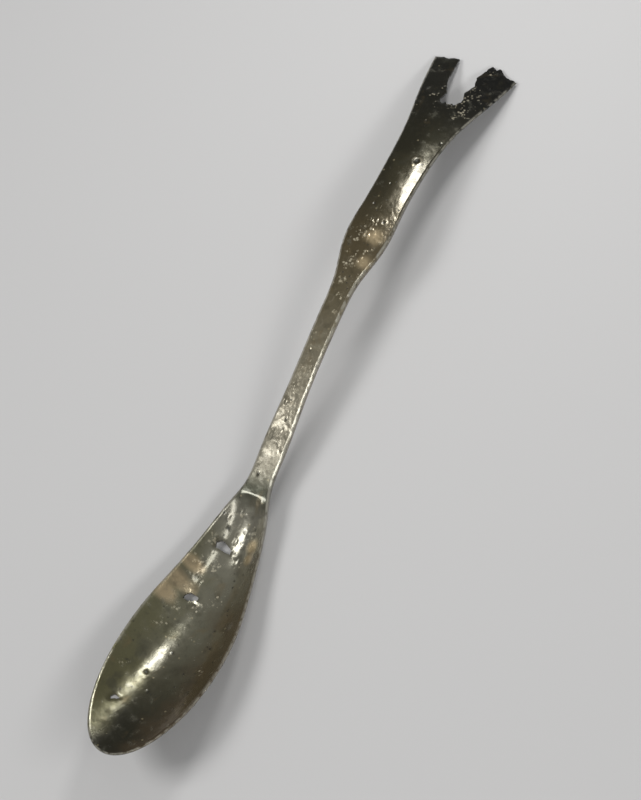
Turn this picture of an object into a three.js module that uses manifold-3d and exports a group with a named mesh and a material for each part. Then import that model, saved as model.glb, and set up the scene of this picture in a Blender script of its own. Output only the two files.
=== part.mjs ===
// Old bronze spoon: a leaf-shaped bowl, a narrow stem, a shouldered waist and a broken swallow tail.
// It is one forging, drawn here as seven named lengths that meet face to face on upright planes.
// Millimetres. +X runs from the nose of the bowl to the tail, +Y is the spoon's left, +Z is up.
// The spoon lies as it does on a table at z = 0: on the belly of the bowl and the ends of the tail.
import * as THREE from 'three';
import { mergeVertices } from 'three/addons/utils/BufferGeometryUtils.js';
import Module from 'manifold-3d';

const wasm = await Module();
wasm.setup();

// Bowl
const BOWL_LENGTH = 96.5;
const BOWL_WIDTH = 34.2;
const BOWL_DEPTH = 8.5;
const WIDEST_AT = 38;
const DEEPEST_AT = 57;
const BOWL_WALL = 0.95;
const RIM_LAND = 0.6;
const RIM_THICKNESS = 0.9;
const HOLLOW_FULLNESS = 2.2;
const HEEL_STEEPNESS = 5;
const WORN_FLAT_DEPTH = 0.18;

// Rim heights above the lowest point of the rim's edge line
const NOSE_RISE = 17;
const FORE_RISE = 8.4;
const MID_RISE = 1.8;
const HEEL_RISE = 1.8;

// Heel, where the keel under the bowl runs out into the stem
const HEEL_LENGTH = 15.5;
const HEEL_WIDTH = 9.2;

// Stem
const STEM_LENGTH = 60;
const STEM_WIDTH = 7.2;
const STEM_THICKNESS = 2.3;
const STEM_HEIGHT = 16.2;
const STEM_CROWN = 0.15;
const STEM_BEVEL = 0.8;
const STEM_BEVEL_DROP = 0.6;

// Waist, the shouldered swelling at the crest of the arch
const WAIST_LENGTH = 30;
const WAIST_WIDTH = 14.5;
const WAIST_THICKNESS = 1.9;
const WAIST_CROWN = 0.7;
const CREST_HEIGHT = 21.3;

// Tail blade, from the waist to the bottom of the fork
const BLADE_LENGTH = 41.5;
const BLADE_WIDTH = 13.7;
const BLADE_THICKNESS = 1.3;
const BLADE_CROWN = 1.1;
const BLADE_HEIGHT = 18.5;
const EDGE_EASE = 0.4;
const EDGE_EASE_DROP = 0.3;

// Prongs of the swallow tail
const PRONG_LENGTH = 21.5;
const PRONG_THICKNESS = 1;
const PRONG_CROWN = 1.2;
const FORK_SPREAD = 30;
const TAIL_LIFT = 0.36;
const TAIL_DIP = 1.65;
const TAIL_BEND_HEIGHT = 12.4;

// Fineness of the faces
const POINTS_ACROSS = 15;
const NOSE_STATIONS = 9;
const NOSE_REACH = 8;
const BOWL_SPACING = 2.6;
const BEND_SPACING = 2.2;
const BLADE_SPACING = 3;
const STEM_SPACING = 5;

// Stations along the spoon, each counted from the nose
const HEEL_START = BOWL_LENGTH;
const STEM_START = HEEL_START + HEEL_LENGTH;
const WAIST_START = STEM_START + STEM_LENGTH;
const BLADE_START = WAIST_START + WAIST_LENGTH;
const FORK_START = BLADE_START + BLADE_LENGTH;
const OVERALL_LENGTH = FORK_START + PRONG_LENGTH;
const inBowl = (share) => share * BOWL_LENGTH;
const inTaper = (share) => WIDEST_AT + share * (BOWL_LENGTH - WIDEST_AT);
const inHeel = (share) => HEEL_START + share * HEEL_LENGTH;
const inStem = (share) => STEM_START + share * STEM_LENGTH;
const inWaist = (share) => WAIST_START + share * WAIST_LENGTH;
const inBlade = (share) => BLADE_START + share * BLADE_LENGTH;
const inProng = (share) => FORK_START + share * PRONG_LENGTH;
const SLAB_END = inProng(1.05);
const KEEL_END = inHeel(0.8);

// Broken inner edges and ends of the prongs from the bottom of the fork outwards, as shares of
// the prong's length and of half the fork's spread, left positive
const LEFT_BREAK = [
  [0, 0.21], [0.2, 0.18], [0.34, 0.29], [0.5, 0.37], [0.8, 0.41], [0.93, 0.44],
  [0.92, 0.63], [0.88, 0.68], [0.9, 0.79], [0.88, 0.93], [0.81, 1.15],
];
const RIGHT_BREAK = [
  [0, -0.2], [0.13, -0.26], [0.27, -0.18], [0.48, -0.27], [0.66, -0.19], [0.87, -0.27],
  [0.99, -0.33], [0.93, -0.46], [1, -0.52], [0.9, -0.66], [0.85, -0.77], [0.84, -1.15],
];

// Holes that corrosion has eaten through the bowl: the middle as shares of the bowl's length and
// half width, and the ragged edge round it in millimetres
const HOLES = [
  {
    at: [0.824, 0.23],
    edge: [[-1.3, 2.2], [0.2, 2.4], [1.7, 1.1], [0.8, -0.8], [0, -2.5], [-1.4, -2.4], [-1.6, 0.2]],
  },
  {
    at: [0.625, 0.37],
    edge: [[-1.3, 2.1], [0.3, 1.7], [1.5, 0.5], [1.2, -2.3], [-0.1, -1.9], [-1.3, 0.3]],
  },
  {
    at: [0.2, 0.5],
    edge: [[-1.3, 0.6], [-0.1, 1], [0.7, 0.6], [0.3, -1.6], [-0.4, -0.8]],
  },
];

// A smooth curve through [x, value] stations, level at its start if asked
function curveThrough(stations, levelStart = false) {
  const n = stations.length;
  const gap = (i) => stations[i + 1][0] - stations[i][0];
  const slope = (i) => (stations[i + 1][1] - stations[i][1]) / gap(i);
  const lower = [0];
  const diagonal = [levelStart ? 2 * gap(0) : 1];
  const upper = [levelStart ? gap(0) : 0];
  const right = [levelStart ? 6 * slope(0) : 0];
  for (let i = 1; i < n - 1; i += 1) {
    lower.push(gap(i - 1));
    diagonal.push(2 * (gap(i - 1) + gap(i)));
    upper.push(gap(i));
    right.push(6 * (slope(i) - slope(i - 1)));
  }
  for (let i = 1; i < n - 1; i += 1) {
    const factor = lower[i] / diagonal[i - 1];
    diagonal[i] -= factor * upper[i - 1];
    right[i] -= factor * right[i - 1];
  }
  const bend = new Array(n).fill(0);
  for (let i = n - 2; i >= 0; i -= 1) bend[i] = (right[i] - upper[i] * bend[i + 1]) / diagonal[i];
  return (x) => {
    let i = 0;
    while (i < n - 2 && x > stations[i + 1][0]) i += 1;
    const a = (stations[i + 1][0] - x) / gap(i);
    const b = 1 - a;
    const straight = a * stations[i][1] + b * stations[i + 1][1];
    return straight + ((a ** 3 - a) * bend[i] + (b ** 3 - b) * bend[i + 1]) * gap(i) ** 2 / 6;
  };
}

// A value that eases from one station's level to the next, flat at each
function easedLevels(stations) {
  return (x) => {
    if (x <= stations[0][0]) return stations[0][1];
    for (let i = 1; i < stations.length; i += 1) {
      const [x1, level1] = stations[i];
      if (x > x1) continue;
      const [x0, level0] = stations[i - 1];
      return THREE.MathUtils.lerp(level0, level1, THREE.MathUtils.smoothstep(x, x0, x1));
    }
    return stations[stations.length - 1][1];
  };
}

// Half width behind the widest point: the leaf's taper, the heel, the stem, the waist and the flare
const halfWidthBehind = curveThrough([
  [WIDEST_AT, BOWL_WIDTH / 2],
  [inTaper(0.23), 0.475 * BOWL_WIDTH],
  [inTaper(0.47), 0.39 * BOWL_WIDTH],
  [inTaper(0.73), 0.285 * BOWL_WIDTH],
  [inTaper(0.915), 0.2 * BOWL_WIDTH],
  [inHeel(0.16), 0.5 * HEEL_WIDTH],
  [inHeel(0.87), 0.45 * HEEL_WIDTH],
  [inStem(0.3), STEM_WIDTH / 2],
  [inStem(0.78), STEM_WIDTH / 2],
  [inStem(0.98), 0.3 * WAIST_WIDTH],
  [inWaist(0.23), 0.43 * WAIST_WIDTH],
  [inWaist(0.47), WAIST_WIDTH / 2],
  [inWaist(0.83), 0.504 * BLADE_WIDTH],
  [inBlade(0.17), BLADE_WIDTH / 2],
  [inBlade(0.48), 0.544 * BLADE_WIDTH],
  [inBlade(0.76), 0.3 * FORK_SPREAD],
  [inProng(0.09), 0.393 * FORK_SPREAD],
  [inProng(0.56), 0.463 * FORK_SPREAD],
  [SLAB_END, 0.52 * FORK_SPREAD],
], true);

// Half width of the outline drawn in by an inset, a quarter of an ellipse at the nose
function halfWidth(x, inset = 0) {
  if (x >= WIDEST_AT) return halfWidthBehind(x) - inset;
  const share = 1 - Math.max(0, x - inset) / (WIDEST_AT - inset);
  return (BOWL_WIDTH / 2 - inset) * Math.sqrt(Math.max(0, 1 - share * share));
}

// Depth of the hollow under the edge line, on the middle of the bowl
function hollowDepth(x) {
  if (x <= RIM_LAND) return 0;
  if (x < DEEPEST_AT) {
    return BOWL_DEPTH * Math.sin((Math.PI / 2) * (x - RIM_LAND) / (DEEPEST_AT - RIM_LAND));
  }
  const share = Math.min(1, (x - DEEPEST_AT) / (BOWL_LENGTH - DEEPEST_AT));
  return (keelDepth(x) + edgeThickness(x) - BOWL_WALL) * (1 - share ** HEEL_STEEPNESS);
}

// Thickness of the sheet at the outline
const edgeThickness = easedLevels([
  [inBowl(0.7), RIM_THICKNESS],
  [inHeel(0.4), STEM_THICKNESS],
  [inStem(0.93), STEM_THICKNESS],
  [inWaist(0.6), WAIST_THICKNESS],
  [inBlade(0.5), BLADE_THICKNESS],
  [inProng(1), PRONG_THICKNESS],
]);

// How far the underside of the bowl and heel hangs below the sheet at the outline
function keelDepth(x) {
  const fullness = BOWL_DEPTH + BOWL_WALL - RIM_THICKNESS;
  if (x < DEEPEST_AT) return fullness * Math.sin((Math.PI / 2) * x / DEEPEST_AT);
  const share = Math.min(1, (x - DEEPEST_AT) / (KEEL_END - DEEPEST_AT));
  return fullness * (1 - share * share) ** 1.5;
}

// Crown of the stem, waist and tail above the edge line
const crown = easedLevels([
  [HEEL_START, 0],
  [STEM_START, STEM_CROWN],
  [inStem(0.83), STEM_CROWN],
  [inWaist(0.5), WAIST_CROWN],
  [inBlade(0.5), BLADE_CROWN],
  [inProng(1), PRONG_CROWN],
]);

// Width of the rim's land or of the bevel, and how far it falls at the outline
const bevelWidth = easedLevels([
  [inBowl(0.92), RIM_LAND],
  [inHeel(0.26), STEM_BEVEL],
  [inStem(0.93), STEM_BEVEL],
  [BLADE_START, EDGE_EASE],
]);
const bevelDrop = easedLevels([
  [inBowl(0.94), 0],
  [inHeel(0.26), STEM_BEVEL_DROP],
  [inStem(0.93), STEM_BEVEL_DROP],
  [BLADE_START, EDGE_EASE_DROP],
]);

// Height of the edge line for a trial height of its lowest point in the bowl
const edgeLineFor = (low) => curveThrough([
  [0, low + NOSE_RISE],
  [inBowl(0.31), low + FORE_RISE],
  [inBowl(0.62), low + MID_RISE],
  [inBowl(0.81), low],
  [inHeel(0.1), low + HEEL_RISE],
  [inStem(0.3), STEM_HEIGHT],
  [inWaist(0.27), CREST_HEIGHT],
  [inBlade(0.19), BLADE_HEIGHT],
  [inBlade(0.8), TAIL_BEND_HEIGHT],
  [inProng(0.86), PRONG_THICKNESS + TAIL_LIFT],
  [SLAB_END, PRONG_THICKNESS + TAIL_LIFT - TAIL_DIP],
]);

// The low point is set so that the belly stands on the table by its worn flat
function settledEdgeLine() {
  let low = BOWL_DEPTH;
  for (let round = 0; round < 6; round += 1) {
    const line = edgeLineFor(low);
    let lowest = Infinity;
    for (let x = 0; x < STEM_START; x += 0.5) {
      lowest = Math.min(lowest, line(x) - edgeThickness(x) - keelDepth(x));
    }
    low -= lowest + WORN_FLAT_DEPTH;
  }
  return edgeLineFor(low);
}
const edgeHeight = settledEdgeLine();

// One upright section: matching rows of points over the top and under the bottom, right to left
function sectionAt(x) {
  const outer = halfWidth(x);
  const inner = Math.max(0, halfWidth(x, bevelWidth(x)));
  const ys = [-outer];
  for (let i = 0; i < POINTS_ACROSS; i += 1) ys.push(inner * (2 * i / (POINTS_ACROSS - 1) - 1));
  ys.push(outer);
  const edge = edgeHeight(x);
  const rise = crown(x);
  const drop = bevelDrop(x);
  const top = [];
  const bottom = [];
  ys.forEach((y, i) => {
    const atOutline = i === 0 || i === ys.length - 1;
    const inShare = inner > 0 ? Math.min(1, Math.abs(y) / inner) : 1;
    const outShare = outer > 0 ? Math.abs(y) / outer : 1;
    const arch = rise * (1 - outShare * outShare);
    const hollow = hollowDepth(x) * (1 - inShare ** HOLLOW_FULLNESS);
    const keel = keelDepth(x) * (1 - outShare ** HOLLOW_FULLNESS);
    top.push([x, y, edge + arch - hollow - (atOutline ? drop : 0)]);
    bottom.push([x, y, edge + arch - edgeThickness(x) - keel + (atOutline ? drop / 2 : 0)]);
  });
  return { top, bottom };
}

// A closed solid lofted through the sections at these stations
function loftThrough(stations) {
  const positions = [];
  const faces = [];
  const row = POINTS_ACROSS + 2;
  stations.forEach((x) => {
    const { top, bottom } = sectionAt(x);
    [...top, ...bottom].forEach((point) => positions.push(...point));
  });
  const quad = (a, b, c, d) => faces.push(a, b, c, a, c, d);
  const topAt = (s, i) => s * 2 * row + i;
  const bottomAt = (s, i) => s * 2 * row + row + i;
  const last = stations.length - 1;
  for (let i = 0; i < row - 1; i += 1) {
    for (let s = 0; s < last; s += 1) {
      quad(topAt(s, i), topAt(s + 1, i), topAt(s + 1, i + 1), topAt(s, i + 1));
      quad(bottomAt(s, i), bottomAt(s, i + 1), bottomAt(s + 1, i + 1), bottomAt(s + 1, i));
    }
    quad(topAt(0, i), topAt(0, i + 1), bottomAt(0, i + 1), bottomAt(0, i));
    quad(topAt(last, i + 1), topAt(last, i), bottomAt(last, i), bottomAt(last, i + 1));
  }
  for (let s = 0; s < last; s += 1) {
    quad(topAt(s + 1, 0), topAt(s, 0), bottomAt(s, 0), bottomAt(s + 1, 0));
    quad(topAt(s, row - 1), topAt(s + 1, row - 1), bottomAt(s + 1, row - 1), bottomAt(s, row - 1));
  }
  const geometry = new THREE.BufferGeometry();
  geometry.setAttribute('position', new THREE.Float32BufferAttribute(positions, 3));
  geometry.setIndex(faces);
  return geometry;
}

// Evenly spaced stations from one place to another
function evenly(from, to, spacing) {
  const steps = Math.max(2, Math.round((to - from) / spacing));
  return Array.from({ length: steps + 1 }, (_, i) => from + (to - from) * i / steps);
}

// Solids for joining and cutting, with doubled points merged and empty triangles left out
function toManifold(geometry) {
  const bare = geometry.clone();
  bare.deleteAttribute('normal');
  bare.deleteAttribute('uv');
  const merged = mergeVertices(bare, 1e-4);
  const index = merged.index.array;
  const kept = [];
  for (let i = 0; i < index.length; i += 3) {
    const [a, b, c] = [index[i], index[i + 1], index[i + 2]];
    if (a !== b && b !== c && c !== a) kept.push(a, b, c);
  }
  return new wasm.Manifold(new wasm.Mesh({
    numProp: 3,
    vertProperties: new Float32Array(merged.attributes.position.array),
    triVerts: new Uint32Array(kept),
  }));
}

function toGeometry(solid) {
  const mesh = solid.getMesh();
  const geometry = new THREE.BufferGeometry();
  geometry.setAttribute('position', new THREE.BufferAttribute(new Float32Array(mesh.vertProperties), 3));
  geometry.setIndex(new THREE.BufferAttribute(new Uint32Array(mesh.triVerts), 1));
  geometry.computeVertexNormals();
  return geometry;
}

// An upright prism on an outline, tall enough to pass through the whole spoon
function prismOn(outline) {
  const shape = new THREE.Shape(outline.map(([x, y]) => new THREE.Vector2(x, y)));
  const height = 3 * CREST_HEIGHT;
  const prism = new THREE.ExtrudeGeometry(shape, { depth: height, bevelEnabled: false });
  return toManifold(prism.translate(0, 0, -height / 3));
}

// Bowl: finer stations at the round nose, three holes, and the worn flat that it stands on
function bowl() {
  const nose = Array.from({ length: NOSE_STATIONS }, (_, i) => NOSE_REACH * (i / NOSE_STATIONS) ** 2);
  let solid = toManifold(loftThrough([...nose, ...evenly(NOSE_REACH, HEEL_START, BOWL_SPACING)]));
  HOLES.forEach(({ at, edge }) => {
    const x = inBowl(at[0]);
    const y = at[1] * halfWidth(x);
    solid = solid.subtract(prismOn(edge.map(([along, left]) => [x + along, y + left])));
  });
  const table = new THREE.BoxGeometry(2 * BOWL_LENGTH, 2 * BOWL_WIDTH, CREST_HEIGHT);
  return solid.subtract(toManifold(table.translate(BOWL_LENGTH, 0, -CREST_HEIGHT / 2)));
}

function lengthBetween(from, to, spacing) {
  return toManifold(loftThrough(evenly(from, to, spacing)));
}

// Prongs: the flared slab beyond the fork, kept only inside each prong's broken outline
function prong(brokenEdge, side) {
  const slab = lengthBetween(FORK_START, SLAB_END, BLADE_SPACING);
  const reach = side * FORK_SPREAD;
  const outline = brokenEdge.map(([along, left]) => [inProng(along), left * FORK_SPREAD / 2]);
  outline.push([outline[outline.length - 1][0], reach], [FORK_START, reach]);
  return slab.intersect(prismOn(side > 0 ? outline : outline.reverse()));
}

const BRONZE = { metalness: 0.75 };
const finishes = {
  bowl: new THREE.MeshStandardMaterial({ color: 0x6e6a56, roughness: 0.42, ...BRONZE }),
  heel: new THREE.MeshStandardMaterial({ color: 0x767260, roughness: 0.5, ...BRONZE }),
  stem: new THREE.MeshStandardMaterial({ color: 0x7b7562, roughness: 0.55, ...BRONZE }),
  waist: new THREE.MeshStandardMaterial({ color: 0x6d6248, roughness: 0.55, ...BRONZE }),
  tail_blade: new THREE.MeshStandardMaterial({ color: 0x57523f, roughness: 0.4, ...BRONZE }),
  left_prong: new THREE.MeshStandardMaterial({ color: 0x3b382b, roughness: 0.45, ...BRONZE }),
  right_prong: new THREE.MeshStandardMaterial({ color: 0x4a4636, roughness: 0.45, ...BRONZE }),
};
const solids = {
  bowl: bowl(),
  heel: lengthBetween(HEEL_START, STEM_START, BEND_SPACING),
  stem: lengthBetween(STEM_START, WAIST_START, STEM_SPACING),
  waist: lengthBetween(WAIST_START, BLADE_START, BEND_SPACING),
  tail_blade: lengthBetween(BLADE_START, FORK_START, BLADE_SPACING),
  left_prong: prong(LEFT_BREAK, 1),
  right_prong: prong(RIGHT_BREAK, -1),
};

// The origin is on the table, under the middle of the spoon's box
const spoon = new THREE.Group();
Object.entries(solids).forEach(([name, solid]) => {
  const mesh = new THREE.Mesh(toGeometry(solid), finishes[name]);
  mesh.name = name;
  spoon.add(mesh);
});
spoon.position.x = -OVERALL_LENGTH / 2;

export default spoon;
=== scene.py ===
# Old bronze spoon, dressed: one hammered forging with a worn, crusted patina.
# The solids give its seven lengths. Here each gets the same surface, drawn fine enough for the
# eye, with eaten holes, broken prongs, pits, ring marks and crusts as real geometry.
import math

import bpy
import numpy as np
from mathutils import Matrix, Vector, noise


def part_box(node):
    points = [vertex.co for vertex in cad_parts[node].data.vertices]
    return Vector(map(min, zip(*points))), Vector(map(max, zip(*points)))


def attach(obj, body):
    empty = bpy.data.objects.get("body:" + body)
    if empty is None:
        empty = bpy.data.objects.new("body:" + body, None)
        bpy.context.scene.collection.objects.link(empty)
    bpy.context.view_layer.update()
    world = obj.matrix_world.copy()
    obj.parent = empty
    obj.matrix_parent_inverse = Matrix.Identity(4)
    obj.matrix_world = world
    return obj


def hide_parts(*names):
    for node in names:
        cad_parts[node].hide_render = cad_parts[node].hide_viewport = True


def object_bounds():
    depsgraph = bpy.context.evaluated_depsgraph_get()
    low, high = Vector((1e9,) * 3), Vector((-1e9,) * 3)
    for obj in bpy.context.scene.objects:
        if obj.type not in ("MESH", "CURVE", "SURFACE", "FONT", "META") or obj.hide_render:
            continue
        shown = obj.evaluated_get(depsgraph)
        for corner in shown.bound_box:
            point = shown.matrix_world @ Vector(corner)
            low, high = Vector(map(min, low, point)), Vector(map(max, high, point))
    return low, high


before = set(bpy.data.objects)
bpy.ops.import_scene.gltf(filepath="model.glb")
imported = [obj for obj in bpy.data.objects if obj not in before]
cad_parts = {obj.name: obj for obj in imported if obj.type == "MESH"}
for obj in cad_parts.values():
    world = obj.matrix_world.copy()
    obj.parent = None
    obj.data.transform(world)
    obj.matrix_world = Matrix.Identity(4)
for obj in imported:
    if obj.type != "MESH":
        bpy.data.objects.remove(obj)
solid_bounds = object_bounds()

MM = 0.001

# Where one length of the forging meets the next, in millimetres from the nose
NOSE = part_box("bowl")[0].x / MM
HEEL_START, STEM_START, WAIST_START, BLADE_START, FORK_START = [
    round(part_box(node)[0].x / MM - NOSE, 3)
    for node in ("heel", "stem", "waist", "tail_blade", "left_prong")
]
TAIL_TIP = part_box("right_prong")[1].x / MM - NOSE
BOWL_WIDTH = 34.2
BOWL_DEPTH = 8.5
BOWL_WALL = 0.95
WIDEST_AT = 38.0
DEEPEST_AT = 57.0
RIM_LAND = 0.6
RIM_THICKNESS = 0.9
STEM_THICKNESS = 2.3
HOLLOW_FULLNESS = 2.2
HEEL_STEEPNESS = 5
WORN_FLAT_DEPTH = 0.18
FORK_SPREAD = 30.0
PRONG_THICKNESS = 1.0
EDGE_ROUND = 0.16
THINNEST_METAL = 0.25


# The forging's own curves, the same as in the solids

def spline(stations, level_start=False):
    """A smooth curve through (x, value) stations, level at its start if asked."""
    xs, values = np.array(stations, float).T
    count = len(xs)
    gaps = np.diff(xs)
    slopes = np.diff(values) / gaps
    system = np.eye(count)
    right = np.zeros(count)
    for i in range(1, count - 1):
        system[i, i - 1:i + 2] = gaps[i - 1], 2 * (gaps[i - 1] + gaps[i]), gaps[i]
        right[i] = 6 * (slopes[i] - slopes[i - 1])
    if level_start:
        system[0, :2] = 2 * gaps[0], gaps[0]
        right[0] = 6 * slopes[0]
    bend = np.linalg.solve(system, right)

    def at(x):
        i = np.clip(np.searchsorted(xs, x) - 1, 0, count - 2)
        a = (xs[i + 1] - x) / gaps[i]
        b = 1 - a
        curved = ((a ** 3 - a) * bend[i] + (b ** 3 - b) * bend[i + 1]) * gaps[i] ** 2 / 6
        return a * values[i] + b * values[i + 1] + curved
    return at


def smooth(share):
    """Eases from 0 to 1, flat at both ends."""
    share = np.clip(share, 0, 1)
    return share * share * (3 - 2 * share)


def eased(stations):
    """A value that eases from one station's level to the next, flat at each."""
    def at(x):
        level = np.full(np.shape(x), stations[0][1], float)
        for (x0, level0), (x1, level1) in zip(stations, stations[1:]):
            level = level + (level1 - level0) * smooth((x - x0) / (x1 - x0))
        return level
    return at


def along(start, end):
    """Stations as shares of the way from one place to another."""
    return lambda share: start + share * (end - start)


in_bowl = along(0, HEEL_START)
in_taper = along(WIDEST_AT, HEEL_START)
in_heel = along(HEEL_START, STEM_START)
in_stem = along(STEM_START, WAIST_START)
in_waist = along(WAIST_START, BLADE_START)
in_blade = along(BLADE_START, FORK_START)
in_prong = along(FORK_START, TAIL_TIP)
SLAB_END = in_prong(1.05)
KEEL_END = in_heel(0.8)

# Outline behind the widest place, from the bowl's taper to the flare of the fork
half_width_behind = spline([
    (WIDEST_AT, 17.1), (in_taper(0.23), 16.245), (in_taper(0.47), 13.338),
    (in_taper(0.73), 9.747), (in_taper(0.915), 6.84), (in_heel(0.16), 4.6), (in_heel(0.87), 4.14),
    (in_stem(0.3), 3.6), (in_stem(0.78), 3.6), (in_stem(0.98), 4.35),
    (in_waist(0.23), 6.235), (in_waist(0.47), 7.25), (in_waist(0.83), 6.905),
    (in_blade(0.17), 6.85), (in_blade(0.48), 7.453), (in_blade(0.76), 9.0),
    (in_prong(0.09), 11.79), (in_prong(0.56), 13.89), (SLAB_END, 15.6),
], level_start=True)
# Metal at the edge, rise of the middle over it, and the bevel along it
edge_thickness = eased([
    (in_bowl(0.7), RIM_THICKNESS), (in_heel(0.4), STEM_THICKNESS),
    (in_stem(0.93), STEM_THICKNESS), (in_waist(0.6), 1.9), (in_blade(0.5), 1.3),
    (in_prong(1), PRONG_THICKNESS),
])
crown = eased([
    (HEEL_START, 0), (STEM_START, 0.15), (in_stem(0.83), 0.15), (in_waist(0.5), 0.7),
    (in_blade(0.5), 1.1), (in_prong(1), 1.2),
])
bevel_width = eased([
    (in_bowl(0.92), RIM_LAND), (in_heel(0.26), 0.8), (in_stem(0.93), 0.8), (BLADE_START, 0.4),
])
bevel_drop = eased([
    (in_bowl(0.94), 0), (in_heel(0.26), 0.6), (in_stem(0.93), 0.6), (BLADE_START, 0.3),
])


def half_width(x, inset=0.0):
    """Half the width at a station, or half that of an outline drawn inside it by the inset."""
    share = 1 - np.maximum(0, x - inset) / (WIDEST_AT - inset)
    nose = (BOWL_WIDTH / 2 - inset) * np.sqrt(np.clip(1 - share * share, 0, None))
    return np.where(x >= WIDEST_AT, half_width_behind(np.maximum(x, WIDEST_AT)) - inset, nose)


def keel_depth(x):
    """How far the bowl's underside hangs below the underside of its edge."""
    fullness = BOWL_DEPTH + BOWL_WALL - RIM_THICKNESS
    fore = fullness * np.sin((math.pi / 2) * np.clip(x / DEEPEST_AT, 0, 1))
    share = np.clip((x - DEEPEST_AT) / (KEEL_END - DEEPEST_AT), 0, 1)
    return np.where(x < DEEPEST_AT, fore, fullness * (1 - share * share) ** 1.5)


def hollow_depth(x):
    """How deep the bowl's inside lies below its edge."""
    rise = np.clip((x - RIM_LAND) / (DEEPEST_AT - RIM_LAND), 0, 1)
    fore = BOWL_DEPTH * np.sin((math.pi / 2) * rise)
    share = np.clip((x - DEEPEST_AT) / (HEEL_START - DEEPEST_AT), 0, 1)
    behind = (keel_depth(x) + edge_thickness(x) - BOWL_WALL) * (1 - share ** HEEL_STEEPNESS)
    return np.where(x < DEEPEST_AT, fore, behind)


def edge_line(low):
    """Height of the edge along the spoon, from the lowest point of the bowl's rim."""
    return spline([
        (0, low + 17), (in_bowl(0.31), low + 8.4), (in_bowl(0.62), low + 1.8), (in_bowl(0.81), low),
        (in_heel(0.1), low + 1.8), (in_stem(0.3), 16.2), (in_waist(0.27), 21.3),
        (in_blade(0.19), 18.5), (in_blade(0.8), 12.4), (in_prong(0.86), 1.36), (SLAB_END, -0.29),
    ])


# The rim's lowest point settles where the belly's worn flat lies on the table
belly = np.arange(0, STEM_START, 0.5)
low_point = BOWL_DEPTH
for _ in range(6):
    lowest = (edge_line(low_point)(belly) - edge_thickness(belly) - keel_depth(belly)).min()
    low_point -= lowest + WORN_FLAT_DEPTH
edge_height = edge_line(low_point)

# Marks of age, placed in mm from the nose and to the left of the middle

# Eaten holes: middle, and the outline round it
HOLES = [
    ((in_bowl(0.824), 4.0), [(-1.3, 2.2), (0.2, 2.4), (1.7, 1.1), (0.8, -0.8), (0, -2.5),
                             (-1.4, -2.4), (-1.6, 0.2)]),
    ((in_bowl(0.625), 6.4), [(-1.3, 2.1), (0.3, 1.7), (1.5, 0.5), (1.2, -2.3), (-0.1, -1.9),
                             (-1.3, 0.3)]),
    ((in_bowl(0.2), 8.7), [(-1.3, 0.6), (-0.1, 1), (0.7, 0.6), (0.3, -1.6), (-0.4, -0.8)]),
]
# Broken inner edges and ends of the prongs, as shares of their length and of half the fork's spread
LEFT_BREAK = [
    (0, 0.21), (0.2, 0.18), (0.34, 0.29), (0.5, 0.37), (0.8, 0.41), (0.93, 0.44),
    (0.92, 0.63), (0.88, 0.68), (0.9, 0.79), (0.88, 0.93), (0.81, 1.15),
]
RIGHT_BREAK = [
    (0, -0.2), (0.13, -0.26), (0.27, -0.18), (0.48, -0.27), (0.66, -0.19), (0.87, -0.27),
    (0.99, -0.33), (0.93, -0.46), (1, -0.52), (0.9, -0.66), (0.85, -0.77), (0.84, -1.15),
]
# Pale mineral crusts: place, radius
CRUSTS = [
    (175.9, 0.5, 2.3), (185.6, 1.9, 1.5), (189.6, 0.6, 1.6), (169.2, 1.3, 1.3), (183.7, 2.6, 1.1),
    (140.9, -3.0, 1.1), (79.4, 7.1, 1.5), (85.2, -3.1, 1.3), (77.0, -1.8, 1.1), (71.6, 8.1, 1.2),
    (71.7, 4.1, 1.3), (66.6, 7.3, 1.0), (54.7, 8.7, 1.0), (48.4, 9.9, 0.9), (31.3, 12.9, 0.8),
    (37.1, -10.6, 0.9), (63.0, -1.4, 1.3), (58.5, 3.2, 1.4), (82.0, 1.0, 1.0), (90.5, 2.0, 0.8),
    (158.5, -1.6, 0.8), (150.2, 2.2, 0.7), (164.8, -1.0, 1.0), (180.2, -2.4, 0.9),
    (246.5, -3.6, 2.2), (248.5, -5.4, 2.0), (243.2, -1.2, 1.6), (242.0, -5.8, 1.6),
    (245.0, 5.7, 0.9), (238.4, -4.8, 0.9), (260.4, -6.3, 0.8), (249.3, 4.2, 0.7),
    (252.2, -5.0, 0.8), (241.5, 3.4, 0.7), (127.0, 1.4, 0.6), (119.5, -1.8, 0.7),
]
# Ring marks left by burst blisters: place, radius of the ring
RING_WIDTH = 0.42
RINGS = [
    (87.8, 3.2, 1.9), (84.2, 0.9, 1.0), (162.3, 2.0, 1.2), (153.9, 1.8, 1.0), (112.3, -3.0, 0.9),
    (94.9, -2.3, 0.9), (92.4, -4.6, 0.8), (217.1, -2.5, 1.5), (175.9, 0.5, 1.6), (133.0, 1.9, 0.9),
    (192.1, -3.1, 0.9),
]
# Tan stains: place, radius
TAN_STAINS = [
    (63.5, 11.0, 5.5), (58.0, 12.5, 5.0), (70.0, 9.5, 4.0), (82.0, -5.2, 3.2), (78.0, -5.6, 2.6),
    (186.0, -2.5, 4.0), (177.0, -3.0, 3.5),
]
# Dark pits: place, radius
PITS = [
    (85.0, 4.5, 0.8), (88.4, 6.9, 0.7), (217.1, -2.5, 1.0), (192.1, -3.1, 0.6), (31.5, 5.6, 0.8),
    (46.4, -8.4, 0.7), (52.7, -6.2, 0.6), (68.5, -4.2, 0.6), (60.4, -6.8, 0.5), (41.0, 2.2, 0.6),
    (25.4, 1.4, 0.6), (35.4, -5.2, 0.5), (103.0, 1.2, 0.5), (121.6, -0.6, 0.45), (144.4, 0.9, 0.5),
    (167.0, -1.9, 0.5), (197.7, 2.9, 0.6), (206.1, 1.2, 0.5), (226.4, -6.3, 0.5), (233.2, 2.4, 0.6),
    (254.8, -9.0, 0.6), (247.7, 9.6, 0.6), (256.4, -6.2, 0.5),
]


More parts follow.
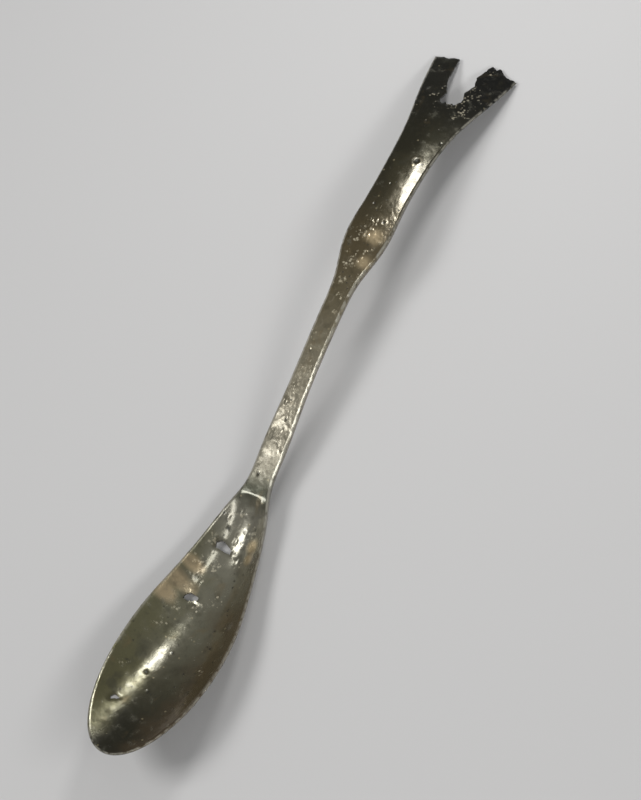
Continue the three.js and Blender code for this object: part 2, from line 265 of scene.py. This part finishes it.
def blurred_spots(x, y, spots, ragged):
    """How far inside the nearest of these spots a point lies: 1 at a middle, 0 at its edge."""
    inside = np.zeros(x.shape)
    for spot_x, spot_y, radius in spots:
        distance = np.hypot(x - spot_x, y - spot_y) / radius * ragged
        inside = np.maximum(inside, 1 - distance)
    return np.clip(inside, 0, 1)


# The fine grid

ACROSS = 92
STEP = 0.45
NOSE_BLUNT = 0.02
NOSE_REACH = 9.0
NOSE_ROWS = 22


def row_stations():
    """Stations from nose to tail, close at the nose, and the row at which each length starts."""
    rows = list(NOSE_BLUNT + NOSE_REACH * (np.arange(NOSE_ROWS) / NOSE_ROWS) ** 2)
    starts = [0]
    start = NOSE_BLUNT + NOSE_REACH
    for end in (HEEL_START, STEM_START, WAIST_START, BLADE_START, FORK_START, TAIL_TIP):
        steps = round((end - start) / STEP)
        rows += list(np.linspace(start, end, steps + 1)[:-1])
        starts.append(len(rows))
        start = end
    return np.array(rows + [TAIL_TIP]), starts


stations, length_starts = row_stations()
inner_columns = np.linspace(-1, 1, ACROSS - 4)
outer_half = half_width(stations)
inner_half = np.clip(half_width(stations, bevel_width(stations)), 0, None)
corner_half = np.maximum(outer_half - np.minimum(EDGE_ROUND, 0.3 * outer_half), 0)
inner_half = np.clip(inner_half, 0.3 * corner_half, 0.9 * corner_half)
middle_half = (inner_half + corner_half) / 2
grid_x = np.repeat(stations[:, None], ACROSS, axis=1)
grid_y = np.concatenate([
    -corner_half[:, None], -middle_half[:, None],
    inner_half[:, None] * inner_columns[None, :],
    middle_half[:, None], corner_half[:, None],
], axis=1)

# Outlines of what is missing, with the small teeth that a break or an eaten edge has
TOOTH_SPACING = 0.35
TOOTH_SIZE = 0.9
BREAK_TOOTH = 0.3
HOLE_TOOTH = 0.35
BEYOND_TAIL = 9.0
MOUTH_HALF = 26.0
FORK_BOTTOM = [
    (0.2, -3.0), (-0.5, -2.3), (0.1, -1.5), (-1.0, -0.5), (-0.2, 0.6), (-0.9, 1.7), (0.2, 3.1),
]


def toothed(outline, tooth, seed, closed=True):
    """An outline cut fine, each point pushed about by up to a tooth."""
    points = [np.array(point, float) for point in outline]
    ends = points[1:] + points[:1] if closed else points[1:]
    fine = []
    for a, b in zip(points, ends):
        steps = max(1, int(np.linalg.norm(b - a) / TOOTH_SPACING))
        fine += [a + (b - a) * i / steps for i in range(steps)]
    if not closed:
        fine.append(points[-1])
    shifted = []
    for point in fine:
        along_noise = Vector((*(point / TOOTH_SIZE), seed))
        across_noise = along_noise + Vector((9, 4, 2))
        shifted.append(point + tooth * np.array([noise.noise(along_noise), noise.noise(across_noise)]))
    return np.array(shifted)


def break_line(shares, seed):
    """A prong's broken edge in mm, with its teeth."""
    line = [(in_prong(share), left * FORK_SPREAD / 2) for share, left in shares]
    return toothed(line, BREAK_TOOTH, seed, closed=False)


left_line = break_line(LEFT_BREAK, seed=3.1)
right_line = break_line(RIGHT_BREAK, seed=7.7)
fork_bottom = [(FORK_START + behind, left) for behind, left in FORK_BOTTOM]
fork_gap = np.concatenate([
    left_line[1:],
    [(TAIL_TIP + BEYOND_TAIL, MOUTH_HALF), (TAIL_TIP + BEYOND_TAIL, -MOUTH_HALF)],
    right_line[::-1][:-1],
    toothed(fork_bottom, BREAK_TOOTH, seed=4.4, closed=False),
])
missing = []
for i, ((middle_x, middle_y), around) in enumerate(HOLES):
    outline = [(middle_x + dx, middle_y + dy) for dx, dy in around]
    missing.append(toothed(outline, HOLE_TOOTH, seed=i * 5.3))
missing.append(fork_gap)


def inside_polygon(x, y, outline):
    """Which of these points lie inside a closed outline."""
    inside = np.zeros(x.shape, bool)
    for (ax, ay), (bx, by) in zip(outline, np.roll(outline, -1, axis=0)):
        crosses = (ay > y) != (by > y)
        where = ax + (y - ay) * (bx - ax) / np.where(by == ay, 1e-9, by - ay)
        inside ^= crosses & (x < where)
    return inside


def nearest_on(point, outline):
    """The outline's point nearest to this one, and how far off it is."""
    a, b = outline, np.roll(outline, -1, axis=0)
    span = b - a
    share = np.clip(((point - a) * span).sum(1) / np.maximum((span ** 2).sum(1), 1e-12), 0, 1)
    spots = a + span * share[:, None]
    distances = np.hypot(*(spots - point).T)
    return spots[distances.argmin()], distances.min()


# Cells whose middle lies in what is missing go, and the points left on the border snap to it
SNAP_REACH = 0.8
FAR_OFF = 9.0
SEARCH_MARGIN = 3.0
BEFORE, AFTER = slice(0, -1), slice(1, None)
cell_x = (grid_x[:-1, :-1] + grid_x[1:, 1:]) / 2
cell_y = (grid_y[:-1, :-1] + grid_y[1:, 1:] + grid_y[:-1, 1:] + grid_y[1:, :-1]) / 4
kept = np.ones(cell_x.shape, bool)
edge_distance = np.full(grid_x.shape, FAR_OFF)
for outline in missing:
    gone = inside_polygon(cell_x, cell_y, outline)
    kept &= ~gone
    touched = np.zeros(grid_x.shape, int)
    for lengthways, across in ((BEFORE, BEFORE), (AFTER, BEFORE), (BEFORE, AFTER), (AFTER, AFTER)):
        touched[lengthways, across] += gone
    corners = np.full(grid_x.shape, 4)
    corners[[0, -1], :] = 2
    corners[:, [0, -1]] = 2
    low, high = outline.min(0) - SEARCH_MARGIN, outline.max(0) + SEARCH_MARGIN
    near = (grid_x > low[0]) & (grid_x < high[0]) & (grid_y > low[1]) & (grid_y < high[1])
    for s, j in zip(*np.nonzero(near)):
        spot, distance = nearest_on(np.array([grid_x[s, j], grid_y[s, j]]), outline)
        edge_distance[s, j] = min(edge_distance[s, j], distance)
        on_border = 0 < touched[s, j] < corners[s, j]
        if on_border and distance < SNAP_REACH and 1 < j < ACROSS - 2:
            grid_x[s, j], grid_y[s, j] = min(spot[0], TAIL_TIP), spot[1]
            edge_distance[s, j] = 0
side_kept = np.concatenate([kept[:, :1], kept, kept[:, -1:]], axis=1)

# Heights, with wear and corrosion

def lumps(size, seed):
    """Smooth noise over the grid, about -1 to 1, whose lumps are about size across, in mm."""
    gain = 1.6
    flat = [noise.noise((x / size, y / size, seed)) for x, y in zip(grid_x.ravel(), grid_y.ravel())]
    return np.array(flat).reshape(grid_x.shape) * gain


outer = np.maximum(half_width(grid_x), 1e-6)
inner = np.clip(half_width(grid_x, bevel_width(grid_x)), 1e-6, None)
in_share = np.clip(np.abs(grid_y) / inner, 0, 1)
out_share = np.clip(np.abs(grid_y) / outer, 0, 1)
arch = crown(grid_x) * (1 - out_share ** 2)
edge = edge_height(grid_x)
on_bevel = np.clip((np.abs(grid_y) - inner) / np.maximum(outer - inner, 1e-6), 0, 1)
hollow = hollow_depth(grid_x) * (1 - in_share ** HOLLOW_FULLNESS)
keel = keel_depth(grid_x) * (1 - out_share ** HOLLOW_FULLNESS)
drop = bevel_drop(grid_x) * on_bevel
top_z = edge + arch - hollow - drop
under_z = np.maximum(edge + arch - edge_thickness(grid_x) - keel + drop / 2, 0.0)

# Heights of the relief, in mm
BLOW_HEIGHT = 0.05
PLANISHING_HEIGHT = 0.018
GRAIN_HEIGHT = 0.016
UNDER_GRAIN_HEIGHT = 0.02
CRUST_HEIGHT = 0.1
RING_HEIGHT = 0.06
PIT_DEPTH = 0.2
# Edges are worn smooth over this width
SMOOTH_EDGE = 1.2
CRUSTED_FROM, CRUSTED_FADE_IN = 100, 25
CRUSTED_TO, CRUSTED_FADE_OUT = 190, 15
# The worn flat on the belly stays flat: relief starts this high, and is full this much higher
FLAT_UP_TO, RELIEF_FADE = 0.05, 0.5
# Metal lost beside a hole or a break: how far from it, what share of the thickness at most,
# what thickness always stays, and how much of the loss is on top
EATEN_REACH = 1.1
EATEN_SHARE = 0.4
HARD_CORE = 0.35
TOP_SHARE = 0.7

ragged = np.clip(0.8 + 0.9 * lumps(1.3, seed=2.0), 0.3, 3)
crust = blurred_spots(grid_x, grid_y, CRUSTS, ragged)
pit = blurred_spots(grid_x, grid_y, PITS, 1 + 0.2 * lumps(0.8, seed=6.0))
tan_stain = blurred_spots(grid_x, grid_y, TAN_STAINS, 1 + 0.3 * lumps(4.0, seed=13.0))
ring = np.zeros(grid_x.shape)
for ring_x, ring_y, radius in RINGS:
    from_middle = np.hypot(grid_x - ring_x, grid_y - ring_y) * (1 + 0.12 * (ragged - 1))
    ring = np.maximum(ring, np.clip(1 - np.abs(from_middle - radius) / RING_WIDTH, 0, 1))
ring *= np.clip(0.75 + lumps(1.6, seed=11.0), 0, 1)
hammer = BLOW_HEIGHT * lumps(5.5, seed=1.0) + PLANISHING_HEIGHT * lumps(2.2, seed=4.0)
grain = lumps(0.9, seed=8.0)
# The stem and the waist are the most crusted
crust_start = smooth((grid_x - CRUSTED_FROM) / CRUSTED_FADE_IN)
crust_end = smooth((grid_x - CRUSTED_TO) / CRUSTED_FADE_OUT)
crusted = crust_start * (1 - crust_end)
inwards = smooth((outer - np.abs(grid_y)) / SMOOTH_EDGE)
thinning = np.clip(1 - edge_distance / EATEN_REACH, 0, 1) ** 1.5
relief = (hammer * inwards + GRAIN_HEIGHT * grain * (0.4 + crusted)
          + CRUST_HEIGHT * smooth(crust * 1.6) * (1 + 0.8 * grain) * inwards
          + RING_HEIGHT * ring * inwards - PIT_DEPTH * smooth(pit * 1.4))
thickness = top_z - under_z
cut_back = np.minimum(0.42 * thinning, EATEN_SHARE) * np.clip(thickness - HARD_CORE, 0, None)
top_z = top_z + np.where(inwards > 0, relief, 0) - TOP_SHARE * cut_back
under_relief = -hammer * 0.8 * inwards - UNDER_GRAIN_HEIGHT * grain
off_table = smooth((under_z - FLAT_UP_TO) / RELIEF_FADE)
under_z = np.maximum(under_z + under_relief * off_table, 0.0) + (1 - TOP_SHARE) * cut_back * off_table
top_z = np.minimum(top_z, solid_bounds[1].z / MM)
under_z = np.minimum(under_z, top_z - THINNEST_METAL)


def side_points(sign):
    """Two points round the outline between the top's corner and the underside's."""
    y = sign * outer_half
    upper, under = (top_z[:, -1], under_z[:, -1]) if sign > 0 else (top_z[:, 0], under_z[:, 0])
    lift = np.minimum(EDGE_ROUND, 0.3 * (upper - under))
    return np.stack([
        np.stack([stations, y, upper - lift], axis=1),
        np.stack([stations, y, under + lift], axis=1),
    ], axis=1)


rows = len(stations)
top_points = np.stack([grid_x, grid_y, top_z], axis=2)
under_points = np.stack([grid_x, grid_y, under_z], axis=2)
left_side, right_side = side_points(1), side_points(-1)
# One ring of points round each section: over the top from the right, down the left, back under
AROUND = 2 * ACROSS + 4
ring_points = np.concatenate([
    top_points, left_side, under_points[:, ::-1], right_side[:, ::-1],
], axis=1)


# Where a point is in that ring: row s, column j from the right, or k down a side
def top_at(s, j):
    return s * AROUND + j


def under_at(s, j):
    return s * AROUND + ACROSS + 2 + (ACROSS - 1 - j)


def left_at(s, k):
    return s * AROUND + ACROSS + k


def right_at(s, k):
    return s * AROUND + 2 * ACROSS + 2 + (1 - k)


def right_chain(s):
    """Points down the right side, from the top's corner to the underside's."""
    return [top_at(s, 0), right_at(s, 0), right_at(s, 1), under_at(s, 0)]


def left_chain(s):
    """Points down the left side, likewise."""
    last = ACROSS - 1
    return [top_at(s, last), left_at(s, 0), left_at(s, 1), under_at(s, last)]


def section_loop(s, j):
    """The corners of a section's slice in one column, anticlockwise as seen from the nose."""
    if j == 0:
        top_corner, *side_and_under = right_chain(s)
        return [top_corner] + side_and_under[::-1]
    if j == ACROSS:
        return left_chain(s)
    return [top_at(s, j - 1), top_at(s, j), under_at(s, j), under_at(s, j - 1)]


def strip(near, far):
    """Faces between two chains of points."""
    return [(near[k], near[k + 1], far[k + 1], far[k]) for k in range(len(near) - 1)]


def skin(s, j):
    """The outside faces of one kept cell."""
    t = s + 1
    if j == 0:
        return strip(right_chain(s), right_chain(t))
    if j == ACROSS:
        return strip(left_chain(t), left_chain(s))
    return [
        (top_at(s, j - 1), top_at(t, j - 1), top_at(t, j), top_at(s, j)),
        (under_at(s, j - 1), under_at(s, j), under_at(t, j), under_at(t, j - 1)),
    ]


def faces_of(first, last, side=0):
    """Closed skin of the lengths from one row to another; side picks one prong."""
    def present(s, j):
        if s < first or s >= last or j < 0 or j > ACROSS or not side_kept[s, j]:
            return False
        return side == 0 or (side > 0) == (j > ACROSS // 2)

    outside, walls = [], []
    for s in range(first, last):
        t = s + 1
        for j in range(ACROSS + 1):
            if not present(s, j):
                continue
            outside += skin(s, j)
            if not present(s - 1, j):
                walls.append(tuple(section_loop(s, j)))
            if not present(t, j):
                walls.append(tuple(reversed(section_loop(t, j))))
            if j > 0 and not present(s, j - 1):
                i = j - 1
                walls.append((top_at(s, i), under_at(s, i), under_at(t, i), top_at(t, i)))
            if j < ACROSS and not present(s, j + 1):
                walls.append((top_at(t, j), under_at(t, j), under_at(s, j), top_at(s, j)))
    return outside, walls


def skin_normals():
    """Normals of the whole forging's outside, so that no line shows where two lengths meet."""
    outside = np.array(faces_of(0, rows - 1)[0])
    flat = ring_points.reshape(-1, 3)
    first, second, third, fourth = (flat[outside[:, corner]] for corner in range(4))
    face_normals = np.cross(third - first, fourth - second)
    normals = np.zeros(flat.shape)
    for corner in range(4):
        np.add.at(normals, outside[:, corner], face_normals)
    return normals / np.maximum(np.linalg.norm(normals, axis=1, keepdims=True), 1e-12)


def on_top(values, sides=0.0):
    """A mark of the top's points, carried round the ring; the underside has none of it."""
    side = np.full((rows, 2), sides)
    under = np.zeros((rows, ACROSS))
    return np.concatenate([values, side, under, side], axis=1).ravel()


def on_both_faces(values):
    """A mark that shows on the underside as on the top."""
    left, right = values[:, -1:], values[:, :1]
    return np.concatenate([values, left, left, values[:, ::-1], right, right], axis=1).ravel()


# Handling rubs the narrow land along every edge bright, and the sides less
LAND_OVERLAP = 0.12
LAND_FADE = 0.25
SIDE_WEAR = 0.35
land = smooth((np.abs(grid_y) - inner + LAND_OVERLAP) / LAND_FADE)
marks_of_age = {
    "crust": on_top(smooth(crust * 1.8)),
    "ring_mark": on_top(ring),
    "pit": on_top(smooth(pit * 1.5)),
    "tan_stain": on_top(smooth(tan_stain * 1.3)),
    "worn_edge": on_top(land, SIDE_WEAR),
    "eaten_edge": on_both_faces(thinning),
}
positions = (ring_points.reshape(-1, 3) + [NOSE, 0, 0]) * MM
normals = skin_normals()


def bronze_length(name, first, last, side):
    """One length of the forging as a closed piece that wears the whole forging's normals."""
    outside, walls = faces_of(first, last, side)
    faces = outside + walls
    used = np.unique(np.array(faces))
    new_index = np.full(rows * AROUND, -1)
    new_index[used] = np.arange(len(used))
    mesh = bpy.data.meshes.new(name)
    corners = [[int(new_index[i]) for i in face] for face in faces]
    mesh.from_pydata(positions[used].tolist(), [], corners)
    for mark, values in marks_of_age.items():
        layer = mesh.attributes.new(mark, "FLOAT", "POINT")
        layer.data.foreach_set("value", values[used].astype(np.float32))
    corner_normals = [normals[i] for face in outside for i in face]
    for polygon in mesh.polygons[len(outside):]:
        corner_normals += [polygon.normal] * 4
    mesh.normals_split_custom_set(corner_normals)
    piece = bpy.data.objects.new(name, mesh)
    bpy.context.scene.collection.objects.link(piece)
    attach(piece, "root")
    return piece


# Finish

def linear(hex_colour):
    """A #rrggbb sRGB colour as linear RGBA."""
    channels = [int(hex_colour[i:i + 2], 16) / 255 for i in (1, 3, 5)]
    return [c / 12.92 if c <= 0.04045 else ((c + 0.055) / 1.055) ** 2.4 for c in channels] + [1.0]


def add(tree, kind, inputs=None, **settings):
    """Adds a node. An input is a value, a #rrggbb colour or the socket that feeds it."""
    node = tree.nodes.new(kind)
    for setting, value in settings.items():
        setattr(node, setting, value)
    for socket, given in (inputs or {}).items():
        if isinstance(given, bpy.types.NodeSocket):
            tree.links.new(given, node.inputs[socket])
        else:
            node.inputs[socket].default_value = linear(given) if isinstance(given, str) else given
    return node


def per_metre(millimetres):
    """Noise scale whose features are this many millimetres across."""
    return 1 / (millimetres * MM)


MATH = "ShaderNodeMath"
MIX = "ShaderNodeMix"
RANGE = "ShaderNodeMapRange"
NOISE = "ShaderNodeTexNoise"
VORONOI = "ShaderNodeTexVoronoi"

# The metal's colour from nose to tail, under everything else; its darkest stops, at the nose, are
# painted shade for the dark surroundings that the nose reflects
GROUND_WITH_NOSE_SHADE = [
    (0.0, "#302d1f"), (0.05, "#353324"), (0.11, "#585544"), (0.18, "#7b7969"), (0.27, "#8a887a"),
    (0.34, "#8f8c80"), (0.37, "#4a4c3c"), (0.40, "#8c8778"), (0.48, "#989282"), (0.55, "#8f8875"),
    (0.62, "#776e58"), (0.69, "#655a43"), (0.76, "#524c39"), (0.85, "#413e2d"), (0.92, "#1e1d15"),
    (1.0, "#12110c"),
]
# Noise whose lumps have this size in mm: size, detail, roughness, distortion
MOTTLING = {
    "wander": (14, 3, 0.55, 0), "cloud": (7, 5, 0.55, 0.4), "film": (3.2, 5, 0.55, 0),
    "grain": (0.5, 3, 0.7, 0), "fine": (0.7, 4, 0.65, 0), "scratched": (18, 4, 0.55, 0),
    "crumbling": (1.8, 4, 0.55, 0), "rubbing": (2.2, 4, 0.55, 0),
}
SCRATCH_LENGTH = 9
SCRATCH_SLIMNESS = 34
SPECK_SPACING = 2.4
CRUMB_SPACING = 1.0
WANDER_WIDTH = 22
# Masks: the measure that each is read from, where it is 0 and where it is 1. Places are in mm.
MASKS = {
    "in_bowl": ("from_nose", HEEL_START, 70.5), "to_left": ("leftwards", 2, 13),
    "to_right": ("leftwards", -2, -12), "in_tail": ("from_nose", 187.5, 217.5),
    "left_half": ("leftwards", -1, 4), "tan_cloud": ("cloud", 0.58, 0.76),
    "green_cloud": ("cloud", 0.44, 0.28), "pale_film": ("film", 0.56, 0.72),
    "dark_film": ("film", 0.44, 0.3), "light_grain": ("grain", 0.3, 0.7),
    "dot": ("speck", 0.2, 0.08), "scratch_line": ("scratch", 0.66, 0.72),
    "scratch_place": ("scratched", 0.45, 0.6), "crumb": ("crumb_distance", 0.55, 0.25),
    "crumb_place": ("crumbling", 0.36, 0.52), "rub_place": ("rubbing", 0.34, 0.56),
}
# Of all the specks, the share that are pale dust, and where the dark ones start
PALE_BELOW, DARK_ABOVE = 0.2, 0.66
# Masks that hold only where two others do
BOTH = {
    "olive_side": ("to_left", "in_bowl"), "brown_side": ("to_right", "in_bowl"),
    # The tail's left half is darkened as painted shade, for the dark surroundings it reflects
    "tail_painted_shade": ("left_half", "in_tail"), "dark_dot": ("dot", "dark_kind"),
    "pale_dot": ("dot", "pale_kind"), "scratches": ("scratch_line", "scratch_place"),
    "crumbs": ("crumb", "crumb_place"), "pale_crust": ("crust", "crumbs"),
    "rubbed": ("worn_edge", "rub_place"),
}
# Coats of colour over the ground, the lowest first: mask, strength, colour
# Olive and brown sides, painted shade on the left half of the tail, tan stains, clouds and thin films
COATS_UNDER_GRAIN = [
    ("olive_side", 0.75, "#6a6746"), ("brown_side", 0.8, "#62533c"), ("tail_painted_shade", 0.6, "#2b291d"),
    ("tan_stain", 0.95, "#bcab8b"), ("tan_cloud", 0.45, "#7d6c4c"), ("green_cloud", 0.4, "#45453a"),
    ("pale_film", 0.3, "#8b897c"), ("dark_film", 0.3, "#4a4636"),
]
# Specks, scratches, crusts and pits, and bright or darkened edges
COATS_OVER_GRAIN = [
    ("dark_dot", 0.75, "#26231a"), ("pale_dot", 0.55, "#a79c7c"), ("scratches", 0.5, "#2e2b1f"),
    ("pale_crust", 0.7, "#aaa28b"), ("ring_mark", 0.3, "#9c937f"), ("pit", 0.85, "#1f1d16"),
    ("rubbed", 0.7, "#b9b5a6"), ("eaten_edge", 0.3, "#2c2a1e"),
]
GRAIN_STRENGTH = 0.35
DARK_GRAIN, LIGHT_GRAIN = "#57523f", "#8b866f"
# Roughness of the glossiest and the dullest patina, and what each mark adds
GLOSS, SATIN = 0.18, 0.28
DULLING = [("pale_crust", 0.3), ("pit", 0.25), ("dark_dot", 0.15), ("rubbed", -0.1)]
# How far the patina lets the metal through, and how much of that crust hides
METAL = 0.5
CRUST_HIDES = 0.45
# Fine relief: what each pattern adds, as a share of the full height, in mm
FINE_RELIEF = [
    ("fine", 0.6), ("grain", 0.3), ("dark_dot", -0.6), ("pale_dot", 0.5), ("scratches", -0.35),
    ("pale_crust", 0.8),
]
FINE_HEIGHT = 0.06


def hammered_bronze():
    """High-tin bronze, hammered to shape and long buried: a smooth grey-olive patina over
    satin metal, browner to the right, crusted on the stem, almost black on the tail, with
    bright edges where handling has rubbed it and pale mineral spots where soil clung to it.
    The nose's darkest tone and the dark left half of the tail are painted shade."""
    material = bpy.data.materials.new("hammered_bronze_patina")
    material.use_nodes = True
    tree = material.node_tree
    tree.nodes.clear()

    # Places on the spoon in mm, and the patterns measured there
    place = add(tree, "ShaderNodeTexCoord").outputs["Object"]
    axes = add(tree, "ShaderNodeSeparateXYZ", {0: place}).outputs
    field = {}
    for name, (size, detail, roughness, distortion) in MOTTLING.items():
        field[name] = add(tree, NOISE, {
            "Vector": place, "Scale": per_metre(size), "Detail": detail, "Roughness": roughness,
            "Distortion": distortion}).outputs[0]
    field["from_nose"] = add(tree, MATH, {0: axes[0], 1: 1 / MM, 2: -NOSE},
                             operation="MULTIPLY_ADD").outputs[0]
    # A wandering line parts the left from the right
    wander = add(tree, MATH, {0: field["wander"], 1: WANDER_WIDTH, 2: -WANDER_WIDTH / 2},
                 operation="MULTIPLY_ADD").outputs[0]
    field["leftwards"] = add(tree, MATH, {0: axes[1], 1: 1 / MM, 2: wander},
                             operation="MULTIPLY_ADD").outputs[0]
    drawn_out = add(tree, "ShaderNodeMapping", {
        "Vector": place, "Scale": (1, SCRATCH_SLIMNESS, SCRATCH_SLIMNESS)}).outputs[0]
    field["scratch"] = add(tree, NOISE, {
        "Vector": drawn_out, "Scale": per_metre(SCRATCH_LENGTH), "Detail": 3,
        "Roughness": 0.6}).outputs[0]
    aside = add(tree, "ShaderNodeVectorMath", {0: place, 1: (1, 1, 1)}).outputs[0]
    speck = add(tree, VORONOI, {"Vector": aside, "Scale": per_metre(SPECK_SPACING)}).outputs
    field["speck"] = speck["Distance"]
    chance = add(tree, "ShaderNodeSeparateColor", {0: speck["Color"]}).outputs[0]
    field["pale_kind"] = add(tree, MATH, {0: chance, 1: PALE_BELOW}, operation="LESS_THAN").outputs[0]
    field["dark_kind"] = add(tree, MATH, {0: chance, 1: DARK_ABOVE}, operation="GREATER_THAN").outputs[0]
    crumb = add(tree, VORONOI, {"Vector": place, "Scale": per_metre(CRUMB_SPACING)}).outputs
    field["crumb_distance"] = crumb["Distance"]

    for name in marks_of_age:
        field[name] = add(tree, "ShaderNodeAttribute", attribute_name=name).outputs["Fac"]
    for name, (source, zero_at, one_at) in MASKS.items():
        field[name] = add(tree, RANGE, {0: field[source], 1: zero_at, 2: one_at},
                          interpolation_type="SMOOTHSTEP").outputs[0]
    for name, (first, second) in BOTH.items():
        field[name] = add(tree, MATH, {0: field[first], 1: field[second]},
                          operation="MULTIPLY").outputs[0]

    length_share = add(tree, RANGE, {0: field["from_nose"], 2: TAIL_TIP}).outputs[0]
    # Colour along the spoon, with painted shade at the nose
    ground_with_nose_shade = add(tree, "ShaderNodeValToRGB", {0: length_share})
    ramp = ground_with_nose_shade.color_ramp
    while len(ramp.elements) < len(GROUND_WITH_NOSE_SHADE):
        ramp.elements.new(0.5)
    for element, (stop, tint) in zip(ramp.elements, GROUND_WITH_NOSE_SHADE):
        element.position = stop
        element.color = linear(tint)

    grain = add(tree, MIX, {0: field["light_grain"], 6: DARK_GRAIN, 7: LIGHT_GRAIN}, data_type="RGBA")
    colour = ground_with_nose_shade.outputs[0]
    for coats in (COATS_UNDER_GRAIN, COATS_OVER_GRAIN):
        for name, strength, tint in coats:
            amount = add(tree, MATH, {0: field[name], 1: strength}, operation="MULTIPLY").outputs[0]
            colour = add(tree, MIX, {0: amount, 6: colour, 7: tint}, data_type="RGBA").outputs[2]
        if coats is COATS_UNDER_GRAIN:
            colour = add(tree, MIX, {0: GRAIN_STRENGTH, 6: colour, 7: grain.outputs[2]},
                         data_type="RGBA", blend_type="SOFT_LIGHT").outputs[2]

    dullness = add(tree, RANGE, {0: field["film"], 1: 0.35, 2: 0.7, 3: GLOSS, 4: SATIN},
                   interpolation_type="SMOOTHSTEP").outputs[0]
    for name, share in DULLING:
        dullness = add(tree, MATH, {0: field[name], 1: share, 2: dullness},
                       operation="MULTIPLY_ADD").outputs[0]
    metal = add(tree, MATH, {0: field["pale_crust"], 1: -CRUST_HIDES, 2: METAL},
                operation="MULTIPLY_ADD").outputs[0]
    height = 0.0
    for name, share in FINE_RELIEF:
        height = add(tree, MATH, {0: field[name], 1: share, 2: height},
                     operation="MULTIPLY_ADD").outputs[0]
    bump = add(tree, "ShaderNodeBump", {
        "Strength": 0.5, "Distance": FINE_HEIGHT * MM, "Height": height})
    surface = add(tree, "ShaderNodeBsdfPrincipled", {
        "Base Color": colour, "Roughness": dullness, "Metallic": metal, "Normal": bump.outputs[0],
        "Coat Weight": 0.4, "Coat Roughness": 0.15})
    add(tree, "ShaderNodeOutputMaterial", {0: surface.outputs[0]})
    return material


bronze = hammered_bronze()
# Pieces: name, the solid it stands for, its place from the nose, finish, and side of the fork
PIECES = [
    ("bronze_bowl", "bowl", 0, "bowl_patina", 0),
    ("bronze_heel", "heel", 1, "bowl_patina", 0),
    ("bronze_stem", "stem", 2, "stem_crust", 0),
    ("bronze_waist", "waist", 3, "stem_crust", 0),
    ("bronze_tail", "tail_blade", 4, "tail_patina", 0),
    ("bronze_left_prong", "left_prong", 5, "tail_patina", 1),
    ("bronze_right_prong", "right_prong", 5, "tail_patina", -1),
]
for name, node, number, slot, side in PIECES:
    first, last = length_starts[number], length_starts[number + 1]
    piece = bronze_length(name, first, last, side)
    piece.data.materials.append(bronze)
    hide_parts(node)

# Floor, light and camera

PAPER_GREY = "#c9c8c7"
PAPER_ROUGHNESS = 0.9
PAPER_REACH = 2.5


def plain_floor():
    """Matt seamless paper, rolled out pale grey and without a sheen, far past the view."""
    paper = bpy.data.materials.new("matt_seamless_paper")
    paper.use_nodes = True
    tree = paper.node_tree
    surface = tree.nodes["Principled BSDF"]
    surface.inputs["Base Color"].default_value = linear(PAPER_GREY)
    surface.inputs["Roughness"].default_value = PAPER_ROUGHNESS
    mesh = bpy.data.meshes.new("floor")
    reach = PAPER_REACH
    corners = [(-reach, -reach, 0), (reach, -reach, 0), (reach, reach, 0), (-reach, reach, 0)]
    mesh.from_pydata(corners, [], [(0, 1, 2, 3)])
    floor = bpy.data.objects.new("floor", mesh)
    bpy.context.scene.collection.objects.link(floor)
    mesh.materials.append(paper)


def softbox(name, place, target, size, watts):
    """A soft lamp at one place, in metres, that looks at another."""
    lamp = bpy.data.lights.new(name, "AREA")
    lamp.shape = "RECTANGLE"
    lamp.size, lamp.size_y = size
    lamp.energy = watts
    lamp_object = bpy.data.objects.new(name, lamp)
    bpy.context.scene.collection.objects.link(lamp_object)
    lamp_object.location = place
    gaze = Vector(target) - Vector(place)
    lamp_object.rotation_euler = gaze.to_track_quat("-Z", "Y").to_euler()
    lamp_object.visible_camera = False


plain_floor()
# The near lamp glints in the bowl and on the tail, the strip on the right-hand bevels
softbox("near_softbox", (0.29, -0.002, 0.301), (-0.02, 0, 0.01), (0.085, 0.05), 0.53)
softbox("right_strip", (-0.25, -0.6, 0.62), (0, 0, 0.01), (0.75, 0.16), 2.4)
softbox("high_key", (-0.385, 0.455, 1.03), (0, 0, 0), (0.4, 0.4), 6)

# Even pale surroundings, dimmer to the spoon's left than to its right
SKY_COLOUR = "#eceef0"
DIM_SKY, BRIGHT_SKY = 0.16, 0.4
world = bpy.data.worlds.new("soft_studio")
bpy.context.scene.world = world
world.use_nodes = True
sky = world.node_tree
looking = add(sky, "ShaderNodeTexCoord").outputs["Generated"]
toward = add(sky, "ShaderNodeSeparateXYZ", {0: looking}).outputs
glow = add(sky, RANGE, {0: toward[1], 1: 0.8, 2: -1.0, 3: DIM_SKY, 4: BRIGHT_SKY},
           interpolation_type="SMOOTHSTEP")
sky.nodes["Background"].inputs["Color"].default_value = linear(SKY_COLOUR)
sky.links.new(glow.outputs[0], sky.nodes["Background"].inputs["Strength"])

# Camera, from the fit of the photograph: millimetres and pixels
CAMERA_PLACE = Vector((-341.44, -397.05, 986.37)) * MM
CAMERA_RIGHT = Vector((0.42195, -0.88297, -0.20572))
CAMERA_UP = Vector((0.85226, 0.30891, 0.42217))
FOCAL_PIXELS = 3535.67
IMAGE_HEIGHT = 800
SENSOR_WIDTH = 36
camera = bpy.data.cameras.new("camera")
camera.sensor_width = SENSOR_WIDTH
camera.lens = FOCAL_PIXELS * SENSOR_WIDTH / IMAGE_HEIGHT
camera_object = bpy.data.objects.new("camera", camera)
bpy.context.scene.collection.objects.link(camera_object)
back = CAMERA_RIGHT.cross(CAMERA_UP)
camera_object.matrix_world = Matrix.Translation(CAMERA_PLACE) @ Matrix(
    (CAMERA_RIGHT, CAMERA_UP, back)).transposed().to_4x4()
bpy.context.scene.camera = camera_object
bpy.context.scene.view_settings.view_transform = "Standard"
